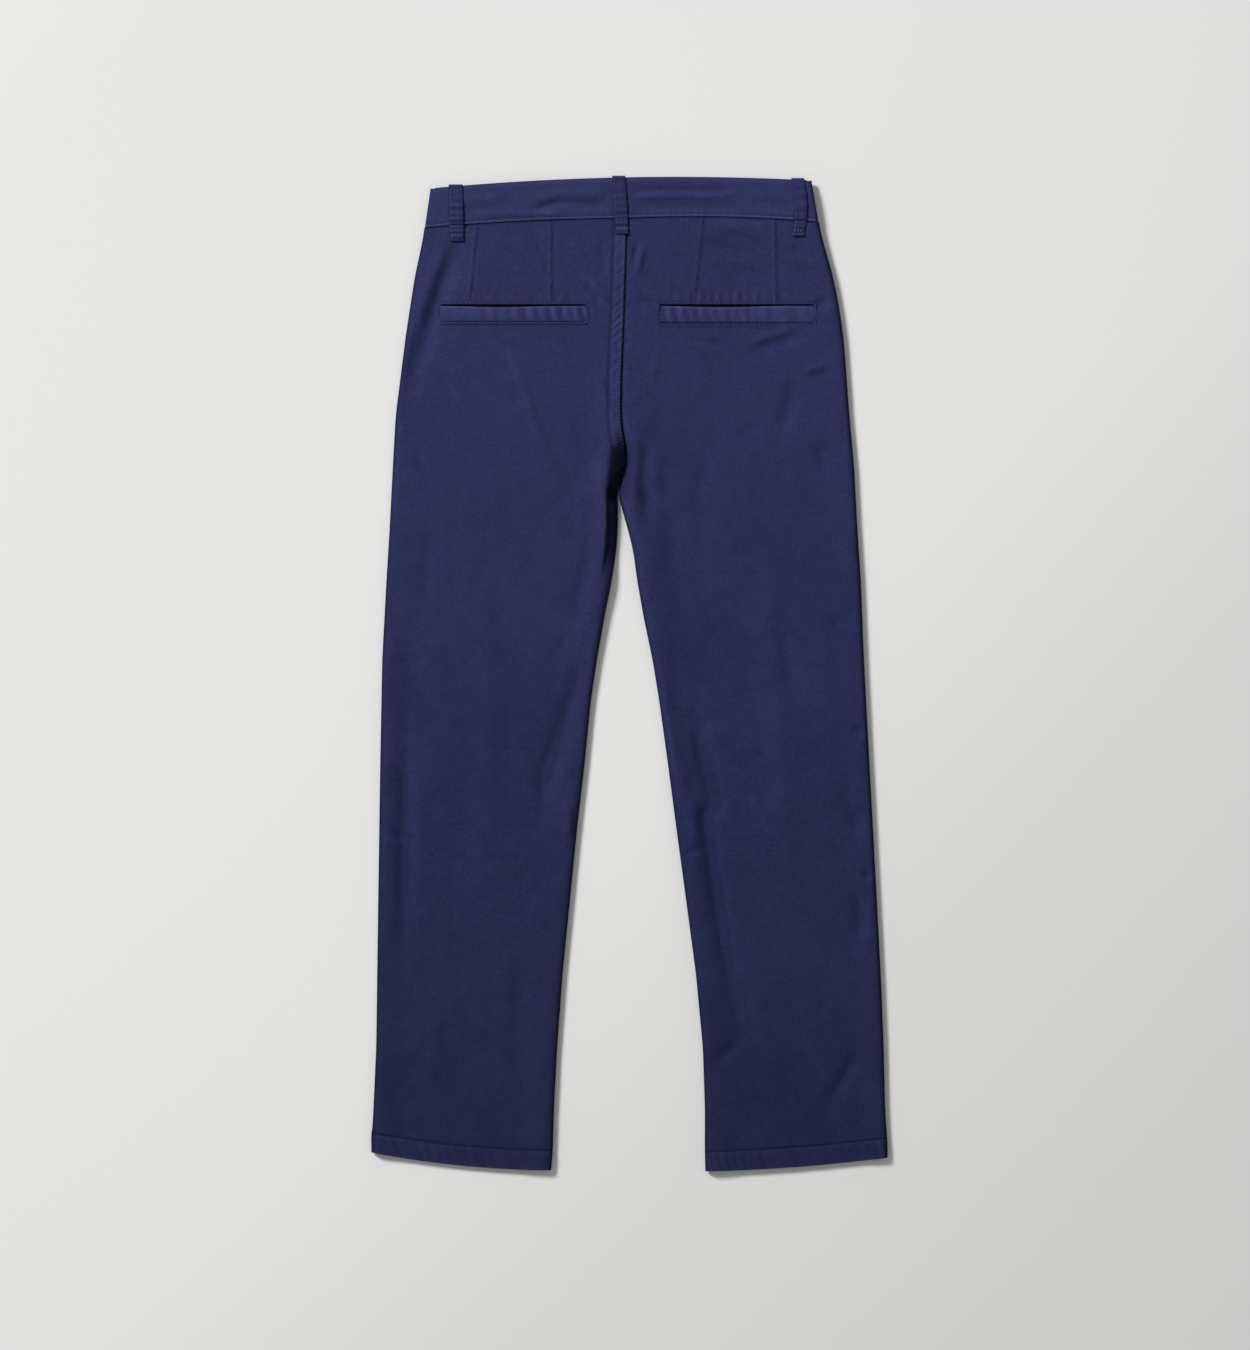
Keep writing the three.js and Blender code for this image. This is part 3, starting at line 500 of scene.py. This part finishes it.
# ---- Front panels: the same twill, lying flat on the table under the backs. Inseams and side
# seams meet the backs; the centre front is closed by the fly. Below the waist they rise with
# the loops and the button beneath them.
raised_rows = [334, 369, 399, 434, 455]
raised_front = [0, 0.5, 1.4, 2.7, 3.3]
raised_fold = [3.3, 3.8, 4.4, 5.4, 6.0]


def front_height(side, x, y):
    d = np.abs(x - edge(side, "side", y))
    e = np.abs(x - front_inner(side, y))
    base = np.interp(y, raised_rows, raised_front)
    fold = np.interp(y, raised_rows, raised_fold)
    z = base + (fold - base) * (1 - np.sqrt(1 - (1 - np.clip(d / 5.5, 0, 1)) ** 2))
    curl = (3.3 - base) * (1 - np.sqrt(1 - (1 - np.clip(e / 5.5, 0, 1)) ** 2)) * step((197 - y) / 12)
    lift = 1.7 * step((y - 250) / 40) * step((60 - e) / 20)
    return z + curl + lift


def front_inner(side, y):
    return np.where(y > 184.5, -12 + 8 * np.clip((y - 184.5) / 270, 0, 1), edge(side, "inner", y))


for side, sign in (("left", -1), ("right", 1)):
    def lay(u, level, side=side, sign=sign):
        inner = front_inner(side, level) + sign * 0.15
        x = edge(side, "side", level) + u * (inner - edge(side, "side", level))
        top, low = step((level - 380) / 75), step((-430 - level) / 67)
        drop = 12 * np.clip(1 - np.abs(x) / 210, 0, 1)
        y = level + top * (waist_seam(x) - 455 - drop - 0.6) + low * (hem_line(side, x) + 497)
        z = front_height(side, x, y)
        up = y - hem_line(side, x)
        # The hem allowance a little worn; painted shade above it and along the inner edge above the crotch.
        wear_and_shade = 0.1 * step((19.5 - up) / 2) - 0.6 * np.exp(-((up - 19.5) / 1) ** 2)
        wear_and_shade = wear_and_shade - 0.7 * step((y - 186) / 4) * np.exp(-(np.abs(x - inner) / 1.2) ** 2)
        return x, y, z, wear_and_shade

    columns = [*np.linspace(0, 0.04, 8), *np.linspace(0.06, 0.94, 60), *np.linspace(0.96, 1, 8)]
    panel = cloth("front_panel_" + side, columns, [*np.linspace(-497, 455, 260)], lay, 0.9,
                  panel_twill, under=True)
    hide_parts("front_" + side)

# ---- Waistband: two layers of twill over interlining, folded along its top, wrapped round the
# waist and topstitched above the seam. The back lies in slow waves; the front meets at the fly.
band_twill = twill_material("waistband twill", (0.0202, 0.0243, 0.0815, 1))


def band_top(x, bow):
    across = np.clip((x - band_ends[0]) / (band_ends[1] - band_ends[0]), 0, 1)
    return np.interp(x, band_ends, [485, 493]) + bow * 4 * (across * (1 - across))


def band_height(x, y):
    share = np.clip((y - waist_seam(x)) / (band_top(x, 7) - waist_seam(x)), 0, 1)
    left = np.interp(share, [0, 1], [waist_ends[0], band_ends[0]])
    right = np.interp(share, [0, 1], [waist_ends[1], band_ends[1]])
    d = np.minimum(x - left, right - x)
    z = 6.2 + 3.1 * np.sqrt(1 - (1 - np.clip(d / 3.5, 0, 1)) ** 2) - 0.3 * step((d - 4) / 20)
    wear_and_shade = np.zeros_like(z)
    waves = [(-1.1, 4.5, [(-103, 461), (-70, 471), (-18, 467)]), (-0.9, 3.5, [(0, 483), (110, 483)]),
             (0.9, 3.5, [(0, 477), (112, 477)]), (-1.0, 5, [(0, 467), (60, 466), (112, 464)]),
             (0.7, 5, [(-100, 470), (-70, 479), (-20, 478)]), (-0.6, 5, [(120, 470), (168, 466)]),
             (0.6, 6, [(-180, 470), (-120, 475)]), (0.6, 4, [(-160, 459), (-60, 459)])]
    for height, width, points in waves:
        gap, place = along(x, y, points)
        z = z + 1.7 * height * np.exp(-(gap / width) ** 2) * step(place / 0.2) * step((1 - place) / 0.2)
    up = y - waist_seam(x)
    down = band_top(x, 7) - y
    z = z - 0.5 * np.exp(-((up - 3.2) / 0.9) ** 2) - 0.8 * np.exp(-(up / 0.8) ** 2)
    z = z + 0.12 * np.sin(2 * math.pi * x / 7.3) * np.exp(-((up - 5) / 4) ** 2)
    z = z - 2.2 * (1 - np.sqrt(1 - (1 - np.clip(down / 1.8, 0, 1)) ** 2))
    # Worn pale above the seam and below the top fold; painted shade along the rolled top edge and ends and
    # in the stitch groove.
    wear_and_shade = wear_and_shade + 0.6 * np.exp(-((up - 1.2) / 0.9) ** 2) - 0.5 * np.exp(-(down / 1.2) ** 2)
    wear_and_shade = wear_and_shade + 0.2 * np.exp(-((down - 3) / 1.5) ** 2) - 0.4 * np.exp(-(d / 2.4) ** 2)
    wear_and_shade = wear_and_shade - 0.35 * np.exp(-((up - 3.4) / 0.7) ** 2)
    return z, wear_and_shade


def lay_band(u, share):
    left = np.interp(share, [0, 1], [waist_ends[0], band_ends[0]])
    right = np.interp(share, [0, 1], [waist_ends[1], band_ends[1]])
    x = left + u * (right - left)
    y = waist_seam(x) + 0.3 + share * (band_top(x, 7) - waist_seam(x) - 0.3)
    corner = 5 * (1 - np.clip(np.minimum(u, 1 - u) * 380 / 6, 0, 1)) ** 2 * step((share - 0.6) / 0.4)
    z, wear_and_shade = band_height(x, y)
    return x, y - corner, z, wear_and_shade


ends = [*np.linspace(0, 0.012, 8)]
columns = [*ends, *np.linspace(0.016, 0.984, 260), *(1 - u for u in reversed(ends))]
band = cloth("waistband_over_seat", columns, [*np.linspace(0, 0.2, 12), *np.linspace(0.24, 0.9, 20),
             *np.linspace(0.92, 1, 8)], lay_band, 1.8, band_twill)
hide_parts("waistband_back")

for side, sign in (("left", -1), ("right", 1)):
    def lay(u, share, side=side, sign=sign):
        end = 0 if side == "left" else 1
        fold = np.interp(share, [0, 1], [waist_ends[end], band_ends[end]])
        x = fold + u * (1 + sign * 0.15 - fold)
        drop = 12 * np.clip(1 - np.abs(x) / 210, 0, 1)
        low = waist_seam(x) - drop - 0.2
        y = low + share * (band_top(x, -9) - low)
        d = np.abs(x - fold)
        z = 3.3 + 2.8 * (1 - np.sqrt(1 - (1 - np.clip(d / 3.5, 0, 1)) ** 2))
        # Worn pale above the seam, with painted shade in the stitch groove.
        wear_and_shade = 0.5 * np.exp(-((y - low - 1.2) / 0.9) ** 2) - 0.3 * np.exp(-((y - low - 3.2) / 0.7) ** 2)
        return x, y, z, wear_and_shade

    half = cloth("waistband_over_front_" + side, [*np.linspace(0, 0.03, 8), *np.linspace(0.04, 1, 70)],
                 [*np.linspace(0, 0.2, 8), *np.linspace(0.3, 1, 10)], lay, 1.8, band_twill, under=True)
    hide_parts("waistband_front_" + side)

# ---- Pocket welts: strips of twill folded lengthways and sewn into the windows of the backs,
# drawn into cross ripples by their seams, with the pocket's mouth along the upper edge.
for side in ("left", "right"):
    x0, x1, y0, y1 = edges[side]["pocket"]

    def lay(u, v, side=side, x0=x0, x1=x1, y0=y0, y1=y1):
        x = x0 - 1.5 + u * (x1 - x0 + 3)
        gape = 0.7 + 1.3 * np.exp(-((u - 0.4) / 0.25) ** 2)
        y = y0 - 0.8 + v * (y1 - gape - y0 + 0.8)
        ground = back_height(side, x, y0 - 7 + 0 * y)[0]
        ripple = drawn(x + 3 * v, 11.5, 1.2 if side == "left" else 2.9)
        z = ground - 0.9 + 0.9 * np.sqrt(np.clip(4 * v * (1 - v), 0, 1)) + 0.45 * ripple * 4 * v * (1 - v)
        # Worn and rippled, pale along the mouth's fold, with painted shade along the lower edge where it
        # goes under the panel.
        wear_and_shade = 0.14 + 0.2 * ripple - 0.9 * np.exp(-(v / 0.06) ** 2) + 0.3 * np.exp(-((v - 0.93) / 0.07) ** 2)
        return x, y, z, wear_and_shade

    strip = cloth("welt_" + side, [*np.linspace(0, 1, 150)], [*np.linspace(0, 1, 16)], lay, 0.8, panel_twill)
    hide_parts("pocket_welt_" + side)

# ---- Belt loops: strips of twill folded in three, stitched along both edges, turned in at the
# ends and tacked over the band's top edge and again below the waist seam.
loop_twill = twill_material("belt loop twill", (0.0160, 0.0194, 0.0705, 1))
# Each loop: its node, the middle of its top and of its lower end, how far it bows, its width.
loops = [("belt_loop_centre_back", -10.8, -7.2, 0, 13.2), ("belt_loop_back_left", -173.7, -172.3, 0, 14.2),
         ("belt_loop_back_right", 168.0, 168.3, 3, 12.6), ("belt_loop_front_left", -112, -112, 0, 13),
         ("belt_loop_front_right", 98, 98, 0, 13)]
for name, top_x, low_x, bow, width in loops:
    low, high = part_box(name)
    over = "back" in name

    def ground(x, y, over=over):
        if not over:
            return 0 * x
        on_panel = np.where(x < -2, back_height("left", np.minimum(x, -14), y)[0],
                            back_height("right", np.maximum(x, 0), y)[0])
        on_band = band_height(x, np.minimum(y, 484 + 0 * y))[0]
        return np.where(y > waist_seam(x), np.maximum(on_band, 8.6), np.maximum(on_panel, 7.2))

    def lay(u, v, over=over, low=low, high=high, top_x=top_x, low_x=low_x, bow=bow, width=width):
        length = (high[1] - low[1]) * 1000
        down = v * length
        x = top_x + (low_x - top_x) * v + bow * 4 * v * (1 - v) + (u - 0.5) * width
        y = high[1] * 1000 - down
        rung = drawn(down, 6.3, top_x)
        rim = np.abs(2 * u - 1)
        edge_roll = rim ** 6
        z_up = 1.5 + 0.9 * np.sin(math.pi * v) ** 2 + 0.3 * rung - 0.7 * edge_roll
        z_up = z_up + 0.5 * np.exp(-((1 - v) / 0.07) ** 2) - 0.35 * np.exp(-((v - 0.86) / 0.012) ** 2)
        if over:
            middle = top_x + (low_x - top_x) * v + 0 * x
            z = ground(middle, y) + z_up - 4.5 * (1 - np.sqrt(1 - (1 - np.clip(down / 3, 0, 1)) ** 2))
        else:
            band_under = 3.3
            z = np.where(v < 0.68, band_under, band_under - 0.2) - z_up - 0.2
            z = np.maximum(z, 0.35)
        # Worn pale on the rungs and beside the edges; painted shade along the rolled edges, at the lower
        # end, and in the stitch and tack grooves.
        wear_and_shade = 0.2 * rung + 0.02 - 0.3 * np.exp(-((rim - 0.62) / 0.07) ** 2)
        wear_and_shade = wear_and_shade + 0.3 * np.exp(-((rim - 0.8) / 0.07) ** 2)
        wear_and_shade = wear_and_shade - 0.9 * np.exp(-((rim - 1) / 0.1) ** 2) - 0.7 * np.exp(-((1 - v) / 0.015) ** 2)
        wear_and_shade = wear_and_shade - 0.5 * np.exp(-((v - 0.86) / 0.015) ** 2)
        return x, y, z, wear_and_shade

    strap = cloth(name + "_strap", [*np.linspace(0, 1, 19)], [*np.linspace(0, 1, 76)], lay, 0.9,
                  loop_twill, under=not over)
    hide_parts(name)

# ---- Fly: the left front's facing laps the right front, straight at the centre with a rounded
# end. It lies under the fronts, against the table, where only the underside shows it.
def lay_fly(u, v):
    y = 441 - v * 164
    end = np.clip((v - 0.7) / 0.3, 0, 1)
    width = 36 * np.sqrt(1 - end ** 2 * 0.92)
    x = np.interp(y, [184.5, 455], [-12, -4]) + 5 - (1 - u) * width
    z = np.interp(y, raised_rows, raised_front) + 0.12
    # Worn pale along the centre edge, with painted shade along the outer edge.
    wear_and_shade = 0.2 * np.exp(-((1 - u) / 0.06) ** 2) - 0.4 * np.exp(-(u / 0.05) ** 2)
    return x, y, z, wear_and_shade


facing = cloth("fly_facing", [*np.linspace(0, 1, 20)], [*np.linspace(0, 1, 60)], lay_fly, 0.9, panel_twill,
               under=True)
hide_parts("fly")

# ---- Button: a moulded resin disc with a raised rim, sewn through the band's front end by a
# cross of thread. It stays fastened.
button_resin = bpy.data.materials.new("button resin")
button_resin.use_nodes = True
resin = button_resin.node_tree.nodes["Principled BSDF"]
clouds = button_resin.node_tree.nodes.new("ShaderNodeTexNoise")
clouds.inputs["Scale"].default_value = 260
clouds.inputs["Distortion"].default_value = 1.2
tint = button_resin.node_tree.nodes.new("ShaderNodeValToRGB")
tint.color_ramp.elements[0].color = (0.012, 0.013, 0.03, 1)
tint.color_ramp.elements[1].color = (0.04, 0.043, 0.08, 1)
spot = button_resin.node_tree.nodes.new("ShaderNodeTexCoord")
button_resin.node_tree.links.new(spot.outputs["Object"], clouds.inputs["Vector"])
button_resin.node_tree.links.new(clouds.outputs["Fac"], tint.inputs["Fac"])
button_resin.node_tree.links.new(tint.outputs["Color"], resin.inputs["Base Color"])
resin.inputs["Roughness"].default_value = 0.38
for node in [o for o in bpy.context.scene.objects if o.name == "waist_button" and o.type == "MESH"]:
    for slot in node.material_slots:
        slot.material = button_resin

# ---- Stitches: navy thread a little paler than the cloth, each stitch 2 mm long and one every
# 3.6 mm, modelled once and copied along every sewn line.
thread = twill_material("thread", (0.050, 0.056, 0.15, 1), fading_and_shade=0.5, bump=0.00003)
clear()
bpy.ops.mesh.primitive_cylinder_add(vertices=6, radius=0.00036, depth=0.0020, rotation=(0, math.pi / 2, 0))
stitch = bpy.context.object
bpy.ops.object.transform_apply(location=False, rotation=True, scale=False)
stitch_points = np.array([v.co[:] for v in stitch.data.vertices])
stitch_points[:, 2] -= 0.00012 * (np.abs(stitch_points[:, 0]) / 0.0011) ** 2
stitch_faces = [tuple(face.vertices) for face in stitch.data.polygons]
bpy.data.objects.remove(stitch)


def sew(name, lines, height, pitch=3.6, lift=0.3, under=False):
    points, faces = [], []
    for line in lines:
        sizes = [math.dist(a, b) for a, b in zip(line, line[1:])]
        count = max(1, int(sum(sizes) / pitch))
        steps = (np.arange(count) + 0.5) / count * sum(sizes)
        marks = np.concatenate([[0], np.cumsum(sizes)])
        line_x = [p[0] for p in line]
        line_y = [p[1] for p in line]
        x = np.interp(steps, marks, line_x)
        y = np.interp(steps, marks, line_y)
        ahead_x = np.interp(steps + 0.5, marks, line_x) - np.interp(steps - 0.5, marks, line_x)
        ahead_y = np.interp(steps + 0.5, marks, line_y) - np.interp(steps - 0.5, marks, line_y)
        z = height(x, y) + (-lift if under else lift)
        for px, py, pz, ax, ay in zip(x, y, z, ahead_x, ahead_y):
            turn = math.atan2(ay, ax)
            c, s = math.cos(turn), math.sin(turn)
            first = len(points)
            for qx, qy, qz in stitch_points:
                points.append((px / 1000 + c * qx - s * qy, py / 1000 + s * qx + c * qy, pz / 1000 + qz))
            faces += [tuple(first + k for k in face) for face in stitch_faces]
    mesh = bpy.data.meshes.new(name)
    mesh.from_pydata(points, [], faces)
    piece = bpy.data.objects.new(name, mesh)
    bpy.context.collection.objects.link(piece)
    clear()
    piece.select_set(True)
    bpy.context.view_layer.objects.active = piece
    bpy.ops.object.shade_smooth_by_angle(angle=math.radians(50))
    mesh.materials.append(thread)
    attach(piece, "root")
    return piece


def line_of(x_values, y_of):
    return [(float(x), float(y_of(x))) for x in x_values]


for side, sign in (("left", -1), ("right", 1)):
    on_panel = lambda x, y, side=side: back_height(side, x, y)[0]
    spread = np.linspace(255, 80, 60) * sign
    x0, x1, y0, y1 = edges[side]["pocket"]
    lines = [line_of(spread, lambda x: hem_line(side, np.array(x)) + 18.4)]
    lines.append([(x0 - 2.6, y1 + 1.6), (x0 - 2.6, y0 - 1.6)])
    lines.append([(x1 + 2.6, y1 + 1.6), (x1 + 2.6, y0 - 1.6)])
    lines.append([(x0 - 2.6, y0 - 1.6), (x1 + 2.6, y0 - 1.6)])
    lines.append([(x0 - 2.6, y1 + 1.6), (x1 + 2.6, y1 + 1.6)])
    if side == "left":
        for inset in (2.0, 10.3):
            lines.append([(float(seam_down(np.array(y))) - inset, y) for y in np.arange(438, 222, -6.0)])
    sew("stitches_back_" + side, lines, on_panel)
    on_front = lambda x, y, side=side: front_height(side, x, y)
    sew("stitches_front_" + side, lines[:1], on_front, lift=-0.25, under=True)
low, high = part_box("waist_button")
cx, cy = (low[0] + high[0]) * 500, (low[1] + high[1]) * 500
cross = [[(cx - 2, cy - 2), (cx + 2, cy + 2)], [(cx - 2, cy + 2), (cx + 2, cy - 2)]]
sew("thread_button", cross, lambda x, y: low[2] * 1000 + 0.75 + 0 * x, pitch=2.4, under=True)
sew("stitches_waistband", [line_of(np.linspace(-201, 186, 90), lambda x: waist_seam(np.array(x)) + 3.3)],
    lambda x, y: band_height(x, y)[0])
tacks = []
for name, top_x, low_x, bow, width in loops[:3]:
    low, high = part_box(name)
    y = low[1] * 1000 + 6.5
    for row in range(4):
        tacks.append([(low_x - width * 0.36, y - row * 0.7), (low_x + width * 0.36, y - row * 0.7)])
sew("tacks_belt_loops", tacks, lambda x, y: 10.1 + 0 * x, pitch=2.4)

# ---- Table: a plain pale surface. Its colour is painted light and shade: darker on the lamp's side and palest across the middle, so that with the lamp it renders a little brighter towards the window side.
clear()
bpy.ops.mesh.primitive_plane_add(size=9, location=(0, 0, -0.0005))
table = bpy.context.object
table.name = "table"
top = bpy.data.materials.new("table top")
top.use_nodes = True
paint = top.node_tree.nodes["Principled BSDF"]
where = top.node_tree.nodes.new("ShaderNodeTexCoord")
apart = top.node_tree.nodes.new("ShaderNodeMapping")
apart.inputs["Rotation"].default_value = (0, 0, math.radians(48))
apart.inputs["Scale"].default_value = (0.62, 0.62, 0.62)
apart.inputs["Location"].default_value = (0.5, 0, 0)
# Painted light and shade: the table's colour changes across it to shape the brightness the lamp gives.
ramp = top.node_tree.nodes.new("ShaderNodeValToRGB")
ramp.color_ramp.elements[0].color = (0.64, 0.64, 0.626, 1)
ramp.color_ramp.elements[1].color = (0.70, 0.70, 0.69, 1)
for stop, tone in ((0.3, 0.715), (0.55, 0.75), (0.75, 0.715)):
    ramp.color_ramp.elements.new(stop).color = (tone, tone, tone * 0.985, 1)
split = top.node_tree.nodes.new("ShaderNodeSeparateXYZ")
top.node_tree.links.new(where.outputs["Object"], apart.inputs["Vector"])
top.node_tree.links.new(apart.outputs["Vector"], split.inputs["Vector"])
top.node_tree.links.new(split.outputs["X"], ramp.inputs["Fac"])
top.node_tree.links.new(ramp.outputs["Color"], paint.inputs["Base Color"])
paint.inputs["Roughness"].default_value = 0.8
paint.inputs["Specular IOR Level"].default_value = 0.1
table.data.materials.append(top)

# ---- Light: a wide soft lamp from above the left leg's side of the waist, and even room light.
lamp_data = bpy.data.lights.new("window", "AREA")
lamp_data.shape = "DISK"
lamp_data.size = 1.7
lamp_data.energy = 545
lamp = bpy.data.objects.new("window", lamp_data)
lamp.location = (-4.2, 3.7, 3.6)
lamp.rotation_euler = (-lamp.location.to_3d()).to_track_quat("-Z", "Y").to_euler()
bpy.context.collection.objects.link(lamp)
room = bpy.data.worlds.new("room")
room.use_nodes = True
room.node_tree.nodes["Background"].inputs["Color"].default_value = (1, 1, 1, 1)
room.node_tree.nodes["Background"].inputs["Strength"].default_value = 0.36
bpy.context.scene.world = room
bpy.context.scene.view_settings.view_transform = "Standard"
